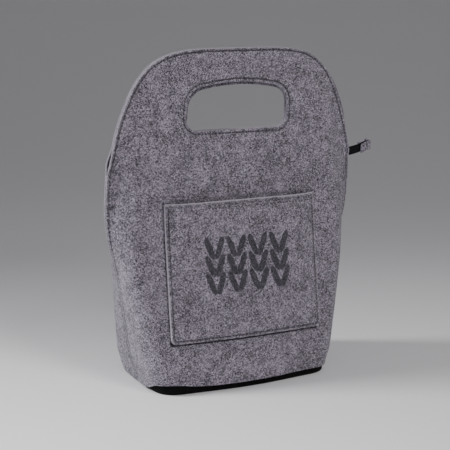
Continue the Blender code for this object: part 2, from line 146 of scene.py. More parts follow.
def edge_limit(z):
    """Half the width of the flat panel above the mouth, where the handle arch narrows it."""
    rise = np.clip((z - MOUTH_Z) / ARCH_RISE, 0.0, 1.0)
    flank = half_width(z) * (1.0 - ARCH_TAPER * rise)
    return flank * (1.0 - rise ** ARCH_POWER) ** (1.0 / ARCH_POWER)


def lip(from_edge):
    """Share of the lip's heading, by arc length measured so that the edge is at HALF_WIDTH."""
    return ease((from_edge - LIP_START) / LIP_RAMP) - ease((from_edge - SEAM_START) / SEAM_RAMP)


def handle_section(s, z, mouth_depth):
    """Heading and centre depth of a handle, whose cut edges lean in towards the other handle."""
    depth = TOP_DEPTH + (mouth_depth - TOP_DEPTH) * (1.0 - ease((z - MOUTH_Z) / CLOSING_HEIGHT))
    seam_depth = (FELT + GAP) / 2
    edge_depth = seam_depth + (EDGE_DEPTH - seam_depth) * ease((z - MOUTH_Z) / EDGE_HEIGHT)
    edge = max(edge_limit(z), LIP_INNERMOST)
    return math.asin((depth - edge_depth) / LIP_RUN) * lip(s - edge + HALF_WIDTH), depth


def heading(s, z):
    """Heading of the panel below the mouth: round ends near the floor, pinched seams above."""
    rise = z / MOUTH_Z
    run = rise * (CORNER_RUN - (CORNER_RUN - 1.0) * rise)
    corner = HEM_CORNER + (MOUTH_CORNER - HEM_CORNER) * run
    length = HEM_CORNER_LENGTH + (MOUTH_CORNER_LENGTH - HEM_CORNER_LENGTH) * run
    round_end = 90.0 * ease((s - corner) / length + 0.5)
    pinch = ease((rise - PINCH_START) / (1.0 - PINCH_START))
    pinched = LIP_HEADING * lip(s - half_width(z) + HALF_WIDTH)
    return np.radians((1.0 - pinch) * round_end + pinch * pinched)


def tuck(z):
    """How far the felt rounds in towards its lower edge."""
    return HEM_TUCK * (1.0 - ease((z - HEM_Z) / TUCK_HEIGHT))


SAMPLES = 320
LEVELS = np.arange(0.0, TOP_Z + 0.5, 1.0)
OUTLINE_STEP = 0.8
FRONT_STEP, REAR_STEP, FACING_STEP, POCKET_STEP = 1.9, 2.3, 2.4, 1.7   # mesh spacing of the sheets


def run_of(values, step):
    """Running integral of evenly spaced values."""
    return np.concatenate([[0.0], np.cumsum((values[1:] + values[:-1]) * step / 2)])


def make_table():
    """x, y and heading of the panels' middle surface at every level and share of the width."""
    table = np.zeros((len(LEVELS), SAMPLES + 1, 3))
    mouth_depth = 0.0
    for k, z in enumerate(LEVELS):
        s = np.linspace(0.0, half_width(z), SAMPLES + 1)
        if z <= MOUTH_Z:
            turn = heading(s, z)
            y = run_of(np.sin(turn), s[1])
            bow = HEM_BOW * (1.0 - ease(z / BOW_HEIGHT))
            seam = -GAP / 2 - (FELT / 2 + tuck(z)) * math.cos(turn[-1])
            y = y - y[-1] + seam - bow * np.clip(1.0 - (s / BOW_HALF) ** 2, 0.0, 1.0) ** 2
            mouth_depth = -y[0]
        else:
            turn, depth = handle_section(s, z, mouth_depth)
            y = run_of(np.sin(turn), s[1]) - depth
        table[k] = np.stack([run_of(np.cos(turn), s[1]), y, turn], axis=1)
    return table


TABLE = make_table()


def bag_surface(s, z, out):
    """Points of the front sheet at pattern points (s, z), moved outward by out. Arrays of mm."""
    s, z, out = np.broadcast_arrays(np.asarray(s, float), np.asarray(z, float), out)
    level = np.clip(z, HEM_Z, TOP_Z - 1e-6)
    low = np.floor(level).astype(int)
    blend_z = (level - low)[..., None]
    width = half_width(level)
    share = np.clip(np.abs(s) / width, 0.0, 1.0) * SAMPLES
    left = np.minimum(np.floor(share).astype(int), SAMPLES - 1)
    blend_s = (share - left)[..., None]
    below = TABLE[low, left] * (1 - blend_s) + TABLE[low, left + 1] * blend_s
    above = TABLE[low + 1, left] * (1 - blend_s) + TABLE[low + 1, left + 1] * blend_s
    spot = below * (1 - blend_z) + above * blend_z
    past = np.maximum(np.abs(s) - width, 0.0)
    shift = out - tuck(z)
    turn = spot[..., 2]
    x = spot[..., 0] + shift * np.sin(turn) + past * np.cos(turn)
    y = spot[..., 1] - shift * np.cos(turn) + past * np.sin(turn)
    return np.stack([np.copysign(x, s), y, z], axis=-1)


def resample(points, step):
    """The same polyline with even steps of about that length."""
    points = np.asarray(points, float)
    run = np.concatenate([[0.0], np.cumsum(np.linalg.norm(np.diff(points, axis=0), axis=1))])
    count = max(int(round(run[-1] / step)), 2)
    at = np.linspace(0.0, run[-1], count + 1)
    return np.stack([np.interp(at, run, points[:, n]) for n in range(points.shape[1])], axis=1)


def panel_outline():
    """Open outline of a panel from the foot of one side seam over the arch to the other."""
    rise = np.sin(np.linspace(0.0, math.pi / 2, 240)) ** 0.5
    up = [(half_width(z), z) for z in np.linspace(-5.0, MOUTH_Z, 60)]
    arch = [(edge_limit(MOUTH_Z + ARCH_RISE * r), MOUTH_Z + ARCH_RISE * r) for r in rise[1:]]
    right = np.array(up + arch)
    left = right[::-1][1:] * (-1.0, 1.0)
    return resample(np.concatenate([right, left]), OUTLINE_STEP)


def arc(cx, cz, radius, start, end, count=14):
    angles = np.radians(np.linspace(start, end, count))
    return [(cx + radius * math.cos(a), cz + radius * math.sin(a)) for a in angles]


def opening_outline(grow=0.0):
    """Closed outline of the hand opening, anticlockwise, moved out by grow."""
    half, low = OPENING_WIDTH / 2, OPENING_Z
    shoulder = low + OPENING_HEIGHT - OPENING_ARCH
    lower, upper = OPENING_LOWER_R, OPENING_UPPER_R
    crown = half - upper
    points = arc(-half + lower, low + lower, lower + grow, 180, 270)
    points += arc(half - lower, low + lower, lower + grow, 270, 360)
    points += arc(half - upper, shoulder - upper, upper + grow, 0, 84)
    for x in np.linspace(crown * 0.96, -crown * 0.96, 24):
        points.append((x, shoulder + grow + OPENING_ARCH * (1 - (x / crown) ** 2)))
    points += arc(-half + upper, shoulder - upper, upper + grow, 96, 180)
    points.append(points[0])
    return resample(points, OUTLINE_STEP)


def pocket_outline(inset=0.0):
    """Closed outline of the pocket, anticlockwise, moved in by inset."""
    half, low, high = POCKET_HALF - inset, POCKET_Z + inset, POCKET_TOP - inset
    top = POCKET_TOP_CORNER
    radius = max(POCKET_CORNER - inset, top)
    points = arc(-half + top, high - top, top, 90, 180, 4)
    points += arc(-half + radius, low + radius, radius, 180, 270)
    points += arc(half - radius, low + radius, radius, 270, 360)
    points += arc(half - top, high - top, top, 0, 90, 4)
    points.append(points[0])
    return resample(points, OUTLINE_STEP)


class Line:
    """Nearest distance from pattern points to a polyline, and how far along it they are."""

    def __init__(self, points):
        self.points = points
        steps = np.diff(points, axis=0)
        self.run = np.concatenate([[0.0], np.cumsum(np.linalg.norm(steps, axis=1))])
        self.tree = KDTree(len(points))
        for n, (s, z) in enumerate(points):
            self.tree.insert((s, z, 0.0), n)
        self.tree.balance()

    def measure(self, s, z):
        flat_s, flat_z = np.ravel(s), np.ravel(z)
        near = np.array([self.tree.find((a, b, 0.0))[1] for a, b in zip(flat_s, flat_z)])
        spots = np.stack([flat_s, flat_z], axis=1)
        best = np.full(len(spots), 1e9)
        along = np.zeros(len(spots))
        for shift in (-1, 0):
            first = np.clip(near + shift, 0, len(self.points) - 2)
            start, end = self.points[first], self.points[first + 1]
            span = end - start
            length = np.maximum((span ** 2).sum(1), 1e-9)
            share = np.clip(((spots - start) * span).sum(1) / length, 0.0, 1.0)
            gap = np.linalg.norm(spots - start - span * share[:, None], axis=1)
            closer = gap < best
            best = np.where(closer, gap, best)
            along = np.where(closer, self.run[first] + share * np.sqrt(length), along)
        return best.reshape(np.shape(s)), along.reshape(np.shape(s))


PANEL_LINE = Line(panel_outline())
OPENING_LINE = Line(opening_outline())
POCKET_LINE = Line(pocket_outline())


def hem_line(s):
    """Lower cut edge of a panel: it sags to the floor round the ends and lifts at one corner."""
    lifted = sum(height * np.exp(-((s - at) / wide) ** 2) for height, at, wide in HEM_LIFTS)
    return HEM_CUT_Z + lifted - END_SAG * ease((np.abs(s) - SAG_START) / SAG_RAMP)


def inside_panel(s, z):
    return (np.abs(s) < edge_limit(z)) & (z > -5.0)


def inside_opening(s, z):
    half, low = OPENING_WIDTH / 2, OPENING_Z
    shoulder = low + OPENING_HEIGHT - OPENING_ARCH
    crown = half - OPENING_UPPER_R
    side = np.abs(s)
    top = shoulder + OPENING_ARCH * np.maximum(1 - (side / crown) ** 2, 0.0)
    rect = (side < half) & (z > low) & (z < top)
    lower = (side > half - OPENING_LOWER_R) & (z < low + OPENING_LOWER_R)
    lower &= np.hypot(side - half + OPENING_LOWER_R, z - low - OPENING_LOWER_R) > OPENING_LOWER_R
    upper = (side > crown) & (z > shoulder - OPENING_UPPER_R)
    upper &= np.hypot(side - crown, z - shoulder + OPENING_UPPER_R) > OPENING_UPPER_R
    return rect & ~lower & ~upper


def panel_field(s, z):
    """Signed distance to the cut edges of a panel, negative on the felt."""
    edge, _ = PANEL_LINE.measure(s, z)
    field = np.where(inside_panel(s, z), -edge, edge)
    field = np.maximum(field, hem_line(s) - z)
    hole, _ = OPENING_LINE.measure(s, z)
    return np.maximum(field, np.where(inside_opening(s, z), hole, -hole))


def facing_field(s, z):
    """The inner handle layer: the panel above the mouth, with its lower corners cut away."""
    lower = np.abs(s) - FACING_HALF - np.maximum(z - FACING_FLARE_Z, 0.0) * FACING_FLARE
    return np.maximum(np.maximum(panel_field(s, z), lower * 0.6), FACING_LOW - z)


def pocket_field(s, z):
    gap, _ = POCKET_LINE.measure(s, z)
    half, corner = POCKET_HALF, POCKET_CORNER
    side = np.abs(s)
    inside = (side < half) & (z > POCKET_Z) & (z < POCKET_TOP)
    corners = (side > half - corner) & (z < POCKET_Z + corner)
    corners &= np.hypot(side - half + corner, z - POCKET_Z - corner) > corner
    return np.where(inside & ~corners, -gap, gap)


# ---------------------------------------------------------------- objects

def add_object(name, data, material=None):
    obj = bpy.data.objects.new(name, data)
    bpy.context.scene.collection.objects.link(obj)
    if material is not None:
        data.materials.clear()
        data.materials.append(material)
    return obj


def new_mesh(name, verts, faces):
    """Smooth mesh from points in mm."""
    mesh = bpy.data.meshes.new(name)
    mesh.from_pydata((np.asarray(verts) * MM).tolist(), [], faces)
    mesh.polygons.foreach_set("use_smooth", [True] * len(mesh.polygons))
    return mesh


def closed_mesh(name, verts, faces):
    """Smooth mesh from points in mm, with its faces turned outward."""
    mesh = new_mesh(name, verts, faces)
    shape = bmesh.new()
    shape.from_mesh(mesh)
    bmesh.ops.recalc_face_normals(shape, faces=shape.faces)
    shape.to_mesh(mesh)
    shape.free()
    return mesh


def ring_faces(a, b, count):
    """Quads between two rings of count points that start at a and at b."""
    return [[a + n, a + (n + 1) % count, b + (n + 1) % count, b + n] for n in range(count)]


# ---------------------------------------------------------------- felt sheets

def soft_sway(s, z, rear):
    """Gentle unevenness of a felt panel, in mm outward; it dies out at seams and cut edges."""
    side = s / HALF_WIDTH
    high = z / TOP_Z
    if rear:
        wave = 0.9 * np.sin(2.9 * side + 1.0) * np.sin(5.2 * high + 0.4)
        wave += 0.5 * np.sin(6.1 * side - 4.0 * high)
    else:
        wave = 0.9 * np.sin(2.6 * side - 0.7) * np.sin(4.6 * high + 0.9)
        wave += 0.5 * np.sin(5.3 * side + 6.0 * high + 1.2)
        wave += 0.9 * np.exp(-((s - 20) / 70) ** 2 - ((z - 32) / 14) ** 2)
        wave -= 1.7 * crease(s, z)
    room = ease((half_width(z) - np.abs(s)) / 30.0) * ease((z - HEM_Z) / 22.0)
    return wave * room * ease((TOP_Z + 25.0 - z) / 60.0)


def crease(s, z):
    """Short pucker that runs down and outward from the pocket's lower left corner."""
    from_s, from_z = s - CREASE_S, z - CREASE_Z
    along = (from_s * CREASE_HEADING[0] + from_z * CREASE_HEADING[1]) / CREASE_LENGTH
    along = np.clip(along, 0.0, 1.0)
    off = np.hypot(from_s + along * CREASE_REACH[0], from_z + along * CREASE_REACH[1])
    return np.exp(-(off / CREASE_WIDTH) ** 2)


def pocket_lift(s, z):
    """How far the pocket stands off the panel: flat at its seams, full in the middle and above."""
    across = 1.0 - np.clip(np.abs(s) / POCKET_HALF, 0.0, 1.0) ** 6
    loose_corner = 1.3 * np.exp(-((s - POCKET_HALF) / 45.0) ** 2 - ((z - POCKET_Z) / 5.0) ** 2)
    return POCKET_FULLNESS * across * ease((z - POCKET_Z) / 45.0) + loose_corner + 0.3


def handle_share(z):
    return ease((z - MOUTH_Z) / SHIFT_HEIGHT)


def front_place(s, z, out):
    spot = bag_surface(s, z, out + soft_sway(s, z, False))
    spot[..., 0] += FRONT_SHIFT * handle_share(z)
    return spot


def rear_place(s, z, out):
    """The rear sheet mirrors the front one; its handle hangs a little lower and to the right."""
    spot = bag_surface(s, z, out + soft_sway(s, z, True))
    spot[..., 0] += REAR_SHIFT * handle_share(z)
    spot[..., 1] = -spot[..., 1]
    spot[..., 2] -= REAR_DROP * handle_share(z)
    return spot


def pocket_place(s, z, out):
    return front_place(s, z, out + FELT + GAP + pocket_lift(s, z))


def facing_place(place):
    """Places points of the handle's inner layer, behind the outer one."""
    return lambda s, z, out: place(s, z, out - FELT - GAP)


def inner_side(place):
    """Places points on the inside of the handle's inner layer, with out counted inward."""
    return lambda s, z, out: place(s, z, -FELT * 1.5 - GAP - out)


def unit_gradient(field, s, z):
    """Direction in which the field rises fastest."""
    d = 0.15
    slope_s = field(s + d, z) - field(s - d, z)
    slope_z = field(s, z + d) - field(s, z - d)
    size = np.maximum(np.hypot(slope_s, slope_z), 1e-9)
    return slope_s / size, slope_z / size


def cut_grid(field, low, high, step, level):
    """Flat mesh of the region where field is below level, its rim lying on that level."""
    columns = int(math.ceil((high[0] - low[0]) / step)) + 1
    rows = int(math.ceil((high[1] - low[1]) / step)) + 1
    s, z = np.meshgrid(np.linspace(low[0], high[0], columns), np.linspace(low[1], high[1], rows))
    value = field(s, z) - level
    near = np.abs(value) < 0.3 * step
    slope_s, slope_z = unit_gradient(field, s[near], z[near])
    s[near] -= value[near] * slope_s
    z[near] -= value[near] * slope_z
    value[near] = 0.0
    points, index, faces = [], {}, []

    def corner(i, j):
        if (i, j) not in index:
            index[i, j] = len(points)
            points.append((s[i, j], z[i, j]))
        return index[i, j]

    def crossing(a, b):
        key = (min(a, b), max(a, b))
        if key not in index:
            share = value[a] / (value[a] - value[b])
            index[key] = len(points)
            points.append((s[a] + (s[b] - s[a]) * share, z[a] + (z[b] - z[a]) * share))
        return index[key]

    for i in range(rows - 1):
        for j in range(columns - 1):
            ring = [(i, j), (i, j + 1), (i + 1, j + 1), (i + 1, j)]
            inside = [value[c] <= 0.0 for c in ring]
            if not any(inside):
                continue
            face = []
            for n in range(4):
                a, b = ring[n], ring[(n + 1) % 4]
                if inside[n]:
                    face.append(corner(*a))
                if inside[n] != inside[(n + 1) % 4] and 0.0 not in (value[a], value[b]):
                    face.append(crossing(a, b))
            if len(face) >= 3:
                faces.append(face)
    return np.array(points), faces


# Rounded cut edge: reach beyond the sheet's faces, height as a share of the thickness
RIM_REACH = 0.47
RIM = [(0.0, 0.5), (0.30, 0.42), (0.45, 0.24), (RIM_REACH, 0.0), (0.45, -0.24), (0.30, -0.42), (0.0, -0.5)]


def point_data(obj, name, first, second):
    """Two lengths for each point, in metres, for the materials."""
    attribute = obj.data.attributes.new(name, "FLOAT_VECTOR", "POINT")
    data = np.stack([first, second, np.zeros(len(first))], axis=1) * MM
    attribute.data.foreach_set("vector", data.ravel())


def felt_sheet(name, field, low, high, place, step, seams, material):
    """Closed felt layer with softly rounded cut edges, its pattern points and its flat area.

    For the material it keeps each point's place on the flat pattern, and, as edge_1, edge_2 ...,
    the distance from each of the seams' cut edges and the place along it.
    """
    flat, faces = cut_grid(field, low, high, step, -RIM_REACH)
    count = len(flat)
    uses = {}
    for face in faces:
        for n, a in enumerate(face):
            b = face[(n + 1) % len(face)]
            uses[a, b] = uses.get((a, b), 0) + 1
    rim = [(a, b) for a, b in uses if (b, a) not in uses]
    rim_points = sorted({v for edge in rim for v in edge})
    slot_of = {v: n for n, v in enumerate(rim_points)}
    spots = flat[rim_points]
    slope_s, slope_z = unit_gradient(field, spots[:, 0], spots[:, 1])
    layers = [place(flat[:, 0], flat[:, 1], side * FELT / 2) for side in (1.0, -1.0)]
    flats = [flat, flat]
    for reach, height in RIM[1:-1]:
        s = spots[:, 0] + slope_s * reach
        z = spots[:, 1] + slope_z * reach
        layers.append(place(s, z, height * FELT))
        flats.append(np.stack([s, z], axis=1))
    flats = np.concatenate(flats)
    start = 2 * count
    rings = len(RIM) - 2
    polygons = faces + [[v + count for v in reversed(face)] for face in faces]

    def on_ring(v, level):
        if level == 0:
            return v
        if level == rings + 1:
            return v + count
        return start + (level - 1) * len(rim_points) + slot_of[v]

    for a, b in rim:
        for level in range(rings + 1):
            polygons.append([on_ring(b, level), on_ring(a, level),
                             on_ring(a, level + 1), on_ring(b, level + 1)])
    obj = add_object(name, closed_mesh(name, np.concatenate(layers), polygons), material)
    point_data(obj, "pattern", flats[:, 0], flats[:, 1])
    for n, line in enumerate(seams, 1):
        point_data(obj, f"edge_{n}", *line.measure(flats[:, 0], flats[:, 1]))
    cut_width = sum(np.linalg.norm(flat[a] - flat[b]) for a, b in rim) * RIM_REACH
    area = sum(polygon_area(flat[face]) for face in faces) + cut_width
    return obj, flats, area * MM * MM


def polygon_area(points):
    s, z = points[:, 0], points[:, 1]
    return abs(np.dot(s, np.roll(z, -1)) - np.dot(z, np.roll(s, -1))) / 2


# ---------------------------------------------------------------- stitches

def stitch_run(name, path, place, up):
    """A row of lockstitches along a pattern path: short threads that dip into the felt."""
    path = resample(path, PITCH)
    verts, faces = [], []
    sides, cuts = 6, 7
    shares = np.linspace(-1.0, 1.0, cuts)
    angles = [2 * math.pi * m / sides for m in range(sides)]
    for start, end in zip(path, path[1:]):
        centre = (start + end) / 2 + (end - start) * STITCH_SHARE / 2 * shares[:, None]
        lift = up + THREAD_RISE - THREAD_DIP * shares ** 4
        spine = place(centre[:, 0], centre[:, 1], lift)
        outward = place(centre[:, 0], centre[:, 1], lift + 1.0) - spine
        along = spine[-1] - spine[0]
        along /= np.linalg.norm(along)
        across = np.cross(along, outward[cuts // 2])
        across /= np.linalg.norm(across)
        normal = np.cross(across, along)
        base = len(verts)
        for spot, share in zip(spine, shares):
            size = THREAD_RADIUS * (1.0 - 0.25 * share ** 2)
            verts += [spot + size * (across * math.cos(a) + normal * math.sin(a)) for a in angles]
        for k in range(cuts - 1):
            faces += ring_faces(base + k * sides, base + (k + 1) * sides, sides)
        faces.append([base + m for m in reversed(range(sides))])
        faces.append([base + (cuts - 1) * sides + m for m in range(sides)])
    return add_object(name, new_mesh(name, verts, faces), THREAD)


def inset_line(points, inset):
    """A polyline moved to its left by inset."""
    ahead = np.gradient(points, axis=0)
    ahead /= np.linalg.norm(ahead, axis=1)[:, None]
    return points + np.stack([-ahead[:, 1], ahead[:, 0]], axis=1) * inset


# ---------------------------------------------------------------- materials

class Nodes:
    """Small helper for building a material's node tree."""

    def __init__(self, name):
        self.mat = bpy.data.materials.new(name)
        self.mat.use_nodes = True
        self.tree = self.mat.node_tree
        self.shader = self.tree.nodes["Principled BSDF"]

    def add(self, kind, **settings):
        node = self.tree.nodes.new(kind)
        for key, value in settings.items():
            setattr(node, key, value)
        return node

    def link(self, out, into):
        self.tree.links.new(out, into)
        return out

    def put(self, socket, value):
        if isinstance(value, bpy.types.NodeSocket):
            self.tree.links.new(value, socket)
        else:
            socket.default_value = value

    def math(self, operation, a, b=0.0, c=0.0, clamp=False):
        node = self.add("ShaderNodeMath", operation=operation, use_clamp=clamp)
        for n, value in enumerate((a, b, c)):
            self.put(node.inputs[n], value)
        return node.outputs[0]

    def noise(self, vector, scale, detail=2.0, rough=0.5, distortion=0.0, offset=None):
        node = self.add("ShaderNodeTexNoise")
        if offset is not None:
            shift = self.add("ShaderNodeVectorMath", operation="ADD")
            self.put(shift.inputs[0], vector)
            shift.inputs[1].default_value = offset
            vector = shift.outputs[0]
        self.put(node.inputs["Vector"], vector)
        node.inputs["Scale"].default_value = scale
        node.inputs["Detail"].default_value = detail
        node.inputs["Roughness"].default_value = rough
        node.inputs["Distortion"].default_value = distortion
        return node.outputs["Fac"]

    def ramp(self, value, low, high, out_low=0.0, out_high=1.0, smooth=True):
        node = self.add("ShaderNodeMapRange", clamp=True)
        node.interpolation_type = "SMOOTHSTEP" if smooth else "LINEAR"
        for n, v in enumerate((value, low, high, out_low, out_high)):
            self.put(node.inputs[n], v)
        return node.outputs[0]

    def mix(self, share, a, b):
        node = self.add("ShaderNodeMix", data_type="RGBA")
        self.put(node.inputs[0], share)
        self.put(node.inputs[6], a)
        self.put(node.inputs[7], b)
        return node.outputs[2]

    def split(self, vector):
        node = self.add("ShaderNodeSeparateXYZ")
        self.put(node.inputs[0], vector)
        return node.outputs

    def attribute(self, name):
        return self.split(self.add("ShaderNodeAttribute", attribute_name=name).outputs["Vector"])

    def bump(self, height, distance, strength=1.0, normal=None):
        node = self.add("ShaderNodeBump")
        node.inputs["Strength"].default_value = strength
        node.inputs["Distance"].default_value = distance
        self.put(node.inputs["Height"], height)
        if normal is not None:
            self.put(node.inputs["Normal"], normal)
        return node.outputs[0]

    def finish(self, colour=None, rough=None, normal=None):
        if colour is not None:
            self.put(self.shader.inputs["Base Color"], colour)
        if rough is not None:
            self.put(self.shader.inputs["Roughness"], rough)
        if normal is not None:
            self.put(self.shader.inputs["Normal"], normal)
        return self.mat


def rgb(r, g, b):
    return (r, g, b, 1.0)


# Fibre noise of the felt, finest first: scale, distortion, offset, weight
FIBRES = [(1700.0, 1.1, None, 0.32),
          (980.0, 1.6, (3.1, 1.7, 0.4), 0.62),
          (300.0, 1.4, (0.2, 5.3, 2.4), 0.15)]
MOTTLE_WEIGHT = 0.10
DARK_LEVEL, LIGHT_LEVEL, SHADE_POWER = 0.548, 0.668, 1.6
DARK_FIBRE, LIGHT_FIBRE = (0.005, 0.004, 0.006), (0.632, 0.568, 0.682)
STRAY_FIBRE, PRINT_INK = rgb(0.72, 0.66, 0.76), rgb(0.020, 0.020, 0.026)


def felt_material(name, lines=(), tone=1.0, pocket=False):
    """Heathered wool felt: tangled light and dark fibres, dents along the sewn lines darkened with painted
    shade, and paler cut edges, partly with a painted highlight.

    lines holds the edge attributes, each with its row of stitches' distance from that edge; a distance of
    0 is the painted shadow line where the pocket's own edge lies on the panel.
    """
    n = Nodes(name)
    place = n.add("ShaderNodeTexCoord").outputs["Object"]
    layers = [n.noise(place, scale, 2.0, 0.55, distortion, offset)
              for scale, distortion, offset, _ in FIBRES]
    mixed = n.math("MULTIPLY", layers[0], FIBRES[0][3])
    for layer, settings in zip(layers[1:], FIBRES[1:]):
        mixed = n.math("MULTIPLY_ADD", layer, settings[3], mixed)
    mottle = n.noise(place, 62.0, 3.0, 0.6, 0.3, (7.0, 0.3, 1.1))
    mixed = n.math("MULTIPLY_ADD", mottle, MOTTLE_WEIGHT, mixed)
    shade = n.math("POWER", n.ramp(mixed, DARK_LEVEL, LIGHT_LEVEL, smooth=False), SHADE_POWER)
    dark, light = (rgb(*[c * tone for c in colour]) for colour in (DARK_FIBRE, LIGHT_FIBRE))
    stray = n.ramp(n.noise(place, 820.0, 1.0, 0.5, 3.5, (9.0, 2.0, 6.0)), 0.66, 0.72)
    colour = n.mix(n.math("MULTIPLY", stray, 0.50), n.mix(shade, dark, light), STRAY_FIBRE)
    height = n.math("MULTIPLY_ADD", layers[0], 0.30, n.math("MULTIPLY", layers[1], 0.70))
    normal = n.bump(height, 0.0012, 0.9)
    if lines:
        colour, normal = add_seams(n, lines, pocket, dark, colour, normal)
    if pocket:
        colour = n.mix(knit_motif(n, place), colour, PRINT_INK)
    n.shader.inputs["Sheen Weight"].default_value = 0.22
    n.shader.inputs["Sheen Roughness"].default_value = 0.55
    n.shader.inputs["Specular IOR Level"].default_value = 0.15
    return n.finish(colour, 0.96, normal)


def add_seams(n, lines, pocket, dark, colour, normal):
    """Pale cut edges, partly a painted highlight on the rims, and the grooves that stitches pull into the
    felt, darkened with painted shade; a painted shadow line runs where the pocket's edge lies on the
    panel.
    """
    # rim colour and share: paler cut fibres on the cut edges, partly a painted highlight on the rims;
    # groove share: painted shade that darkens the grooves
    rim_colour_and_highlight, rim_and_highlight_share, groove_painted_shade_share = rgb(0.38, 0.355, 0.40), 0.45, 0.66
    if pocket:
        rim_colour_and_highlight, rim_and_highlight_share, groove_painted_shade_share = rgb(0.66, 0.62, 0.70), 0.75, 0.40
    # foot marks the pocket's lower edge, where shade falls: the painted highlight is left off there, and
    # the painted shadow line beneath it is darker
    foot = n.ramp(n.attribute("pattern")[1], (POCKET_Z + 1.5) * MM, (POCKET_Z + 6.0) * MM, 1.0, 0.0)
    groove_and_painted_shade = 0.0
    for label, inset in lines:
        gap, along, _ = n.attribute(label)
        off = n.math("ABSOLUTE", n.math("SUBTRACT", gap, inset * MM))
        if inset:
            dent = n.math("SUBTRACT", 1.0, n.ramp(off, 0.0003, 0.0015))
            wave = n.math("SINE", n.math("MULTIPLY", along, 2 * math.pi / (PITCH * MM)))
            depth = n.math("MULTIPLY_ADD", wave, 0.30, 0.70)
            # pale rim along each cut edge: paler cut fibres, partly a painted highlight; on the pocket it
            # is left off at its lower edge, where shade falls
            cut = n.math("SUBTRACT", 1.0, n.ramp(gap, 0.0002, 0.0009))
            if pocket:
                cut = n.math("MULTIPLY", cut, n.math("SUBTRACT", 1.0, foot))
            colour = n.mix(n.math("MULTIPLY", cut, rim_and_highlight_share), colour, rim_colour_and_highlight)
        else:
            # painted shadow line where the pocket's edge lies on the panel, darkest under the pocket's
            # foot
            dent = n.math("SUBTRACT", 1.0, n.ramp(off, 0.0013, 0.0025))
            depth = n.math("MULTIPLY_ADD", foot, 1.10, 0.20)
        groove_and_painted_shade = n.math("MAXIMUM", groove_and_painted_shade, n.math("MULTIPLY", dent, depth))
    normal = n.bump(n.math("MULTIPLY", groove_and_painted_shade, -1.0), 0.0010, 1.0, normal)
    # painted shade: the felt turns darker in the grooves and along the pocket's edge
    return n.mix(n.math("MULTIPLY", groove_and_painted_shade, groove_painted_shade_share), colour, dark), normal


def knit_motif(n, place):
    """Printed block of nested knit stitches: columns of V shapes made of paired slanted leaves.
    Lengths are in metres, as in every material."""
    s, z, _ = n.attribute("pattern")
    pitch, rise, columns, rows = 0.0275, 0.0190, 4, 3
    left, low = -0.053, 0.106
    lean, leaf_wide, leaf_long = math.radians(22), 0.0037, 0.0128
    leaf_from_middle, leaf_from_foot = 0.0062, 0.0128
    across = n.math("DIVIDE", n.math("SUBTRACT", s, left), pitch)
    upward = n.math("DIVIDE", n.math("SUBTRACT", z, low), rise)
    side = n.math("ABSOLUTE", n.math("SUBTRACT", n.math("FRACT", across), 0.5))
    from_middle = n.math("SUBTRACT", n.math("MULTIPLY", side, pitch), leaf_from_middle)
    from_foot = n.math("MULTIPLY", n.math("FRACT", upward), rise)
    ragged = n.math("MULTIPLY_ADD", n.noise(place, 900.0, 3.0, 0.6, 1.5), 0.7, -0.35)
    print_area = 0.0
    for lift, first in ((0.0, 0.0), (rise, 1.0)):
        height = n.math("ADD", from_foot, lift - leaf_from_foot)
        wide_way = n.math("SUBTRACT", n.math("MULTIPLY", from_middle, math.cos(lean)),
                          n.math("MULTIPLY", height, math.sin(lean)))
        long_way = n.math("ADD", n.math("MULTIPLY", from_middle, math.sin(lean)),
                          n.math("MULTIPLY", height, math.cos(lean)))
        shape = n.math("ADD", n.math("POWER", n.math("DIVIDE", wide_way, leaf_wide), 2.0),
                       n.math("POWER", n.math("DIVIDE", long_way, leaf_long), 4.0))
        leaf = n.math("SUBTRACT", 1.0, n.ramp(n.math("ADD", shape, ragged), 0.80, 1.10))
        leaf = n.math("MULTIPLY", leaf, n.math("GREATER_THAN", upward, first))
        leaf = n.math("MULTIPLY", leaf, n.math("LESS_THAN", upward, rows + first))
        print_area = n.math("MAXIMUM", print_area, leaf)
    for bound in (n.math("GREATER_THAN", across, 0.0), n.math("LESS_THAN", across, float(columns))):
        print_area = n.math("MULTIPLY", print_area, bound)
    worn = n.ramp(n.noise(place, 1400.0, 3.0, 0.6, 1.2, (1.0, 9.0, 4.0)), 0.42, 0.60, 0.97, 0.62)
    return n.math("MULTIPLY", print_area, worn)


def thread_material(name, colour):
    """Twisted sewing thread."""
    n = Nodes(name)
    place = n.add("ShaderNodeTexCoord").outputs["Object"]
    twist = n.add("ShaderNodeTexWave", wave_type="BANDS")
    n.put(twist.inputs["Vector"], place)
    twist.inputs["Scale"].default_value = 900.0
    twist.inputs["Distortion"].default_value = 2.0
    shade = n.mix(twist.outputs["Fac"], rgb(*[c * 0.7 for c in colour]), rgb(*colour))
    return n.finish(shade, 0.8, n.bump(twist.outputs["Fac"], 0.0002, 0.6))


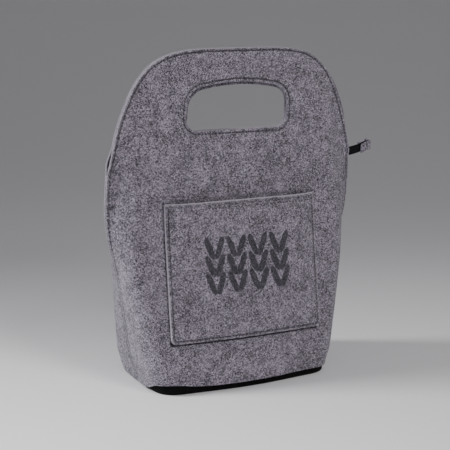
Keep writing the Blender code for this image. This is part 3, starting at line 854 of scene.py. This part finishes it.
def cloth_material(name, colour, scale, depth):
    """Plain black weave for the base and the zip tape."""
    n = Nodes(name)
    place = n.add("ShaderNodeTexCoord").outputs["Object"]
    waves = []
    for axis in "XYZ":
        wave = n.add("ShaderNodeTexWave", wave_type="BANDS", bands_direction=axis)
        n.put(wave.inputs["Vector"], place)
        wave.inputs["Scale"].default_value = scale
        wave.inputs["Distortion"].default_value = 0.6
        waves.append(wave.outputs["Fac"])
    weave = n.math("MULTIPLY", n.math("MAXIMUM", waves[0], waves[1]), waves[2])
    lint = n.noise(place, 700.0, 3.0, 0.6, 0.5)
    tone = n.ramp(n.math("MULTIPLY_ADD", weave, 0.5, n.math("MULTIPLY", lint, 0.5)), 0.2, 0.8)
    shade = n.mix(tone, rgb(*[c * 0.55 for c in colour]), rgb(*[c * 1.6 for c in colour]))
    n.shader.inputs["Sheen Weight"].default_value = 0.03
    n.shader.inputs["Specular IOR Level"].default_value = 0.12
    return n.finish(shade, 0.85, n.bump(n.math("ADD", weave, lint), depth, 0.8))


def plain_material(name, colour, rough, metallic=0.0):
    """Board, nylon or metal, with fine grain and worn, uneven gloss."""
    n = Nodes(name)
    place = n.add("ShaderNodeTexCoord").outputs["Object"]
    speckle = n.noise(place, 900.0, 3.0, 0.6)
    broad = n.noise(place, 120.0, 2.0, 0.5, 0.0, (2.0, 2.0, 2.0))
    tone = n.math("MULTIPLY_ADD", speckle, 0.5, n.math("MULTIPLY", broad, 0.5))
    shade = n.mix(tone, rgb(*[c * 0.75 for c in colour]), rgb(*[c * 1.25 for c in colour]))
    wear = n.ramp(broad, 0.3, 0.7, rough - 0.08, rough + 0.08)
    n.shader.inputs["Metallic"].default_value = metallic
    return n.finish(shade, wear, n.bump(speckle, 0.0002, 0.5))


# ---------------------------------------------------------------- build felt

THREAD = thread_material("grey_thread", (0.050, 0.046, 0.056))


def build_side(side, place, step, seams, lines):
    """Outer panel, inner handle layer and the rows of stitches that hold them together."""
    panel, *panel_facts = felt_sheet(
        side + "_felt_panel", panel_field, (-HEM_HALF_WIDTH - 2, -1.0), (HEM_HALF_WIDTH + 2, TOP_Z + 2),
        place, step, seams, felt_material("felt_" + side + "_panel", lines))
    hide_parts(side + "_panel")
    facing, *facing_facts = felt_sheet(
        side + "_felt_facing", facing_field, (-HALF_WIDTH - 2, 220.0), (HALF_WIDTH + 2, TOP_Z + 2),
        facing_place(place), FACING_STEP, HANDLE_SEAMS, FACING_FELT)
    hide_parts(side + "_handle_facing")
    arch = inset_line(panel_outline(), EDGE_INSET)
    arch = arch[arch[:, 1] > MOUTH_Z - 2.0]
    outside, inside = [], []
    for label, path in (("arch", arch), ("opening", opening_outline(OPENING_INSET))):
        name = f"{side}_{label}_stitches"
        outside.append(stitch_run(name, path, place, FELT / 2))
        high = path[path[:, 1] > MOUTH_Z + 30.0]
        inside.append(stitch_run(name + "_inside", high, inner_side(place), 0.0))
    return [(obj, "felt_outer") for obj in [panel] + outside] + \
           [(obj, "felt_facing") for obj in [facing] + inside]


def build_pocket():
    """Patch pocket, sewn down on three sides, with a hem along its top."""
    pocket, *facts = felt_sheet(
        "felt_pocket", pocket_field, (-POCKET_HALF - 2, POCKET_Z - 2), (POCKET_HALF + 2, POCKET_TOP + 2),
        pocket_place, POCKET_STEP, [POCKET_LINE],
        felt_material("felt_pocket", [("edge_1", POCKET_INSET)], tone=0.98, pocket=True))
    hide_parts("front_pocket")
    sewn = pocket_outline(POCKET_INSET)
    sewn = sewn[sewn[:, 1] < POCKET_TOP - 4.0]
    end = POCKET_HALF - POCKET_INSET
    hem = np.array([(s, POCKET_TOP - HEM_INSET) for s in np.linspace(-end, end, 80)])
    rows = [stitch_run(name, path, pocket_place, FELT / 2)
            for name, path in (("pocket_side_stitches", sewn), ("pocket_hem_stitches", hem))]
    return [(obj, "felt_outer") for obj in [pocket] + rows]


HANDLE_SEAMS = [PANEL_LINE, OPENING_LINE]
HANDLE_LINES = [("edge_1", EDGE_INSET), ("edge_2", OPENING_INSET)]
FACING_FELT = felt_material("felt_facing", HANDLE_LINES, tone=0.95)


def build_felt():
    """Both sides and the pocket; all of it rides on the bag."""
    # the front panel also carries the painted shadow line along the pocket's edge, as edge_3
    made = build_side("front", front_place, FRONT_STEP, HANDLE_SEAMS + [POCKET_LINE],
                      HANDLE_LINES + [("edge_3", 0.0)])
    made += build_side("rear", rear_place, REAR_STEP, HANDLE_SEAMS, HANDLE_LINES)
    for obj, slot in made + build_pocket():
        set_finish(obj, slot)
        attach(obj, "bag")


build_felt()

# ---------------------------------------------------------------- base

def base_loop(inward, height, count=88):
    """Closed loop inside the hem of both panels, moved in from the felt's middle surface."""
    s = np.linspace(-1.0, 1.0, count) * half_width(HEM_Z)
    front = bag_surface(s, np.full(len(s), HEM_Z), -inward)
    front[:, 2] = height
    return np.concatenate([front, front[::-1] * (1.0, -1.0, 1.0)])


def build_base():
    """The tray: up its outside, over the rim and down its inside to the floor. Steps are
    (distance inward, height)."""
    out = FELT / 2 + GAP
    wall = out + BASE_WALL
    steps = [(out + 1.6, 0.0), (out + 0.8, 0.12), (out + 0.3, 0.45), (out + 0.05, 1.0), (out, 1.8),
             (out + 0.15, 4.5), (out, 7.6), (out + 0.2, 10.0),
             (out + 0.3, BASE_RIM - 0.4), (out + 0.7, BASE_RIM), (wall - 0.3, BASE_RIM),
             (wall, BASE_RIM - 0.4), (wall, 8.0), (wall, BASE_FLOOR)]
    loops = [base_loop(*step) for step in steps]
    count, verts = len(loops[0]), np.concatenate(loops)
    faces = [list(range(count))[::-1], list(range(len(verts) - count, len(verts)))]
    for level in range(len(loops) - 1):
        faces += ring_faces(level * count, (level + 1) * count, count)
    mesh = closed_mesh("black_base", verts, faces)
    mesh.polygons.foreach_set("use_smooth", [len(face.vertices) == 4 for face in mesh.polygons])
    cloth = cloth_material("black_base_weave", (0.0045, 0.0045, 0.0048), 420.0, 0.0005)
    base = add_object("black_base", mesh, cloth)
    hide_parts("base_panel")
    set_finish(base, "base_cloth")
    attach(base, "bag")
    board = frame["nodes"]["base_board"]
    board.data.materials.clear()
    board.data.materials.append(plain_material("stiffening_board", (0.30, 0.29, 0.27), 0.8))


build_base()

# ---------------------------------------------------------------- zip

TAPE_CLOTH = cloth_material("zip_tape_weave", (0.008, 0.008, 0.010), 700.0, 0.0003)
COIL_NYLON = plain_material("zip_coil_nylon", (0.020, 0.020, 0.023), 0.42)
ZIP_METAL = plain_material("zip_dark_metal", (0.16, 0.16, 0.17), 0.34, 1.0)
TAB_FELT = felt_material("felt_tab", tone=1.25)


def refined(node, material, width, segments):
    """A bevelled, shaded copy of a CAD node that stands for it."""
    source = frame["nodes"][node]
    obj = add_object(node + "_fine", source.data.copy(), material)
    shape = bmesh.new()
    shape.from_mesh(obj.data)
    bmesh.ops.remove_doubles(shape, verts=shape.verts, dist=1e-6)
    bmesh.ops.dissolve_limit(shape, angle_limit=math.radians(2), verts=shape.verts, edges=shape.edges)
    sharp = [e for e in shape.edges if len(e.link_faces) == 2 and e.calc_face_angle(0.0) > 0.35]
    bmesh.ops.bevel(shape, geom=sharp, offset=width * MM, segments=segments, affect="EDGES",
                    clamp_overlap=True)
    for face in shape.faces:
        face.smooth = True
    shape.to_mesh(obj.data)
    shape.free()
    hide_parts(node)
    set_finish(obj, source.get("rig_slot", "zip_metal"))
    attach(obj, source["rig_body"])
    return obj


def follow(obj, body, twist):
    """The piece rides on its body; a piece marked to twist only has its placement baked into its mesh and
    stays fixed in place.
    """
    if twist:
        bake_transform(obj)
    else:
        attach(obj, body)


def coil_wire(name, start, end, sign, body, node, twist=0):
    """One side of the zip: a wound nylon coil along the tape's edge, as a mesh."""
    steps = int((end - start) / COIL_PITCH) * COIL_STEPS
    curve = bpy.data.curves.new(name + "_path", "CURVE")
    curve.dimensions = "3D"
    curve.bevel_depth = WIRE_RADIUS * MM
    curve.bevel_resolution = 1
    curve.use_fill_caps = True
    spline = curve.splines.new("POLY")
    spline.points.add(steps)
    for n, point in enumerate(spline.points):
        angle = 2 * math.pi * n / COIL_STEPS
        x = start + (end - start) * n / steps
        y = sign * (COIL_Y + COIL_HALF_DEPTH * math.cos(angle))
        z = ZIP_Z + COIL_HALF_HEIGHT * math.sin(angle)
        point.co = (x * MM, y * MM, z * MM, 1.0)
    path = bpy.data.objects.new(name + "_path", curve)
    obj = add_object(name, bpy.data.meshes.new_from_object(path), COIL_NYLON)
    bpy.data.objects.remove(path)
    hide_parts(node)
    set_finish(obj, "zip_nylon")
    follow(obj, body, twist)


def tail_height(x):
    """The tail leaves the mouth level and curls up towards its sewn end."""
    return ZIP_Z - 0.3 + TAIL_CURL * max(x - TAIL_START, 0.0) ** 2


def tape_strip(name, stations, height, sign, node, body="bag", twist=0):
    """Woven tape from the coil outward, folding up lengthwise towards the zip's ends."""
    across = np.linspace(0.0, 1.0, 9)
    verts, faces = [], []
    for x in stations:
        fold = math.radians(FOLD_ANGLE * float(ease((abs(x) - FOLD_START) / FOLD_LENGTH)))
        start = TAPE_BY_COIL if abs(x) < COIL_STOP else TAPE_INNER
        top, bottom = [], []
        for share in across:
            wide = start + (HINGE_Y - start) * share - TAPE_INNER
            thick = TAPE_EDGE_HALF if share in (0.0, 1.0) else TAPE_HALF
            for up, store in ((thick, top), (-thick, bottom)):
                y = TAPE_INNER + wide * math.cos(fold) - up * math.sin(fold)
                store.append((x, sign * y, height(x) + wide * math.sin(fold) + up * math.cos(fold)))
        verts += top + bottom[::-1]
    ring = 2 * len(across)
    last = len(verts) - ring
    for row in range(0, last, ring):
        faces += ring_faces(row, row + ring, ring)
    faces += [list(range(ring)), list(range(last, last + ring))[::-1]]
    obj = add_object(name, closed_mesh(name, verts, faces), TAPE_CLOTH)
    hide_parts(node)
    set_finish(obj, "zip_tape")
    follow(obj, body, twist)


def build_zip():
    """Tapes and coils on the folding flaps and at the fixed ends, then slider, stops and end tab."""
    level = lambda x: ZIP_Z
    near = [FIXED_START, 105, 112, 118, COIL_STOP - 0.1, COIL_STOP + 0.1]
    for side, sign in (("front", -1.0), ("rear", 1.0)):
        flap, tape, coil = f"zip_{side}_flap", f"zip_tape_{side}", f"zip_coil_{side}"
        for part, low, high, twist in (("_start", -FLAP_HALF, -TWIST_END, -1),
                                       ("", -TWIST_END, TWIST_END, 0),
                                       ("_end", TWIST_END, FLAP_HALF, 1)):
            tape_strip(tape + part + "_cloth", np.linspace(low, high, 31), level, sign, tape, flap, twist)
            coil_wire(coil + part + "_wire", max(low, -COIL_HALF), min(high, COIL_HALF), sign, flap,
                      coil, twist)
        left = [-x for x in near] + list(np.linspace(-123, -LEFT_END, 12))
        right = near + list(np.linspace(123, TAIL_END, 26))
        tape_strip(tape + "_left_cloth", left, level, sign, tape + "_left")
        tape_strip(tape + "_tail_cloth", right, tail_height, sign, tape + "_tail")
        coil_wire(coil + "_left_wire", -COIL_FIXED_END, -COIL_FIXED_START, sign, "bag", coil + "_left")
        coil_wire(coil + "_right_wire", COIL_FIXED_START, COIL_FIXED_END, sign, "bag", coil + "_right")
    for node in ("zip_top_stop_front", "zip_top_stop_rear", "zip_bottom_stop", "zip_slider_body",
                 "zip_slider_bail", "zip_pull_tab"):
        refined(node, ZIP_METAL, width=0.22, segments=3)
    tab = refined("zip_end_tab", TAB_FELT, width=0.55, segments=4)
    for vert in tab.data.vertices:
        vert.co.z += TAB_DROP * MM + TAB_TILT * (vert.co.x - TAB_MIDDLE * MM)
    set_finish(tab, "felt_outer")


build_zip()

# ---------------------------------------------------------------- stage, camera, light

CAMERA_YAW, CAMERA_PITCH, CAMERA_ROLL = 29.5, 14.4, 2.5
CAMERA_DISTANCE, CAMERA_LENS = 1.524, 108.0
CAMERA_AIM, CAMERA_OFFSET = Vector((0.0, 0.0, 0.180)), (0.0053, -0.0094)


def build_stage():
    """Pale floor that sweeps up into a backdrop behind the bag. Metres."""
    floor_depth, height, sweep, half_wide, near_edge = 0.9, 3.0, 1.9, 20.0, -30.0
    profile = [(near_edge, 0.0), (floor_depth, 0.0)]
    profile += [(floor_depth + sweep * math.sin(a), sweep * (1 - math.cos(a)))
                for a in np.linspace(0.1, math.pi / 2, 16)]
    profile.append((floor_depth + sweep, height))
    verts = [(x, y, z) for x in (-half_wide, half_wide) for y, z in profile]
    count = len(profile)
    faces = [[n, n + count, n + count + 1, n + 1] for n in range(count - 1)]
    mesh = new_mesh("studio_floor", np.array(verts) / MM, faces)
    floor = add_object("studio_floor", mesh, Nodes("pale_floor").finish(rgb(0.80, 0.79, 0.80), 0.8))
    floor.location.z = -0.0002
    floor.rotation_euler.z = -math.radians(CAMERA_YAW)


def build_camera():
    """A long lens, turned, tilted down and rolled, and shifted across its view by CAMERA_OFFSET."""
    yaw, pitch, roll = (math.radians(a) for a in (CAMERA_YAW, CAMERA_PITCH, CAMERA_ROLL))
    right = Vector((math.cos(yaw), -math.sin(yaw), 0.0))
    ahead = Vector((math.sin(yaw) * math.cos(pitch), math.cos(yaw) * math.cos(pitch), -math.sin(pitch)))
    up = right.cross(ahead)
    data = bpy.data.cameras.new("camera")
    data.lens, data.sensor_width = CAMERA_LENS, 36.0
    camera = add_object("camera", data)
    spot = CAMERA_AIM - ahead * CAMERA_DISTANCE - right * CAMERA_OFFSET[0] + up * CAMERA_OFFSET[1]
    turned_right = right * math.cos(roll) + up * math.sin(roll)
    turned_up = up * math.cos(roll) - right * math.sin(roll)
    axes = Matrix((turned_right, turned_up, -ahead)).transposed()
    camera.matrix_world = Matrix.Translation(spot) @ axes.to_4x4()
    bpy.context.scene.camera = camera


def area_light(name, spot, aim, size, power, colour, spread):
    data = bpy.data.lights.new(name, "AREA")
    data.shape, data.size = "DISK", size
    data.energy, data.color = power, colour
    data.spread = math.radians(spread)
    light = add_object(name, data)
    light.location = spot
    light.rotation_euler = (Vector(aim) - Vector(spot)).to_track_quat("-Z", "Y").to_euler()


def build_light():
    """A small key behind the bag on the left, a soft light over the camera and a faint fill."""
    area_light("key", (-1.15, 0.36, 1.10), (-0.28, -0.50, 0.0), size=0.35, power=6.3,
               colour=(0.97, 0.98, 1.0), spread=72.0)
    area_light("overhead", (0.25, -1.05, 1.35), (0.0, -0.10, 0.1), size=0.7, power=8.4,
               colour=(1.0, 0.98, 0.99), spread=150.0)
    world = bpy.data.worlds.new("studio")
    world.use_nodes = True
    background = world.node_tree.nodes["Background"]
    background.inputs["Color"].default_value = rgb(0.95, 0.95, 1.0)
    background.inputs["Strength"].default_value = 0.18
    bpy.context.scene.world = world


build_stage()
build_camera()
build_light()
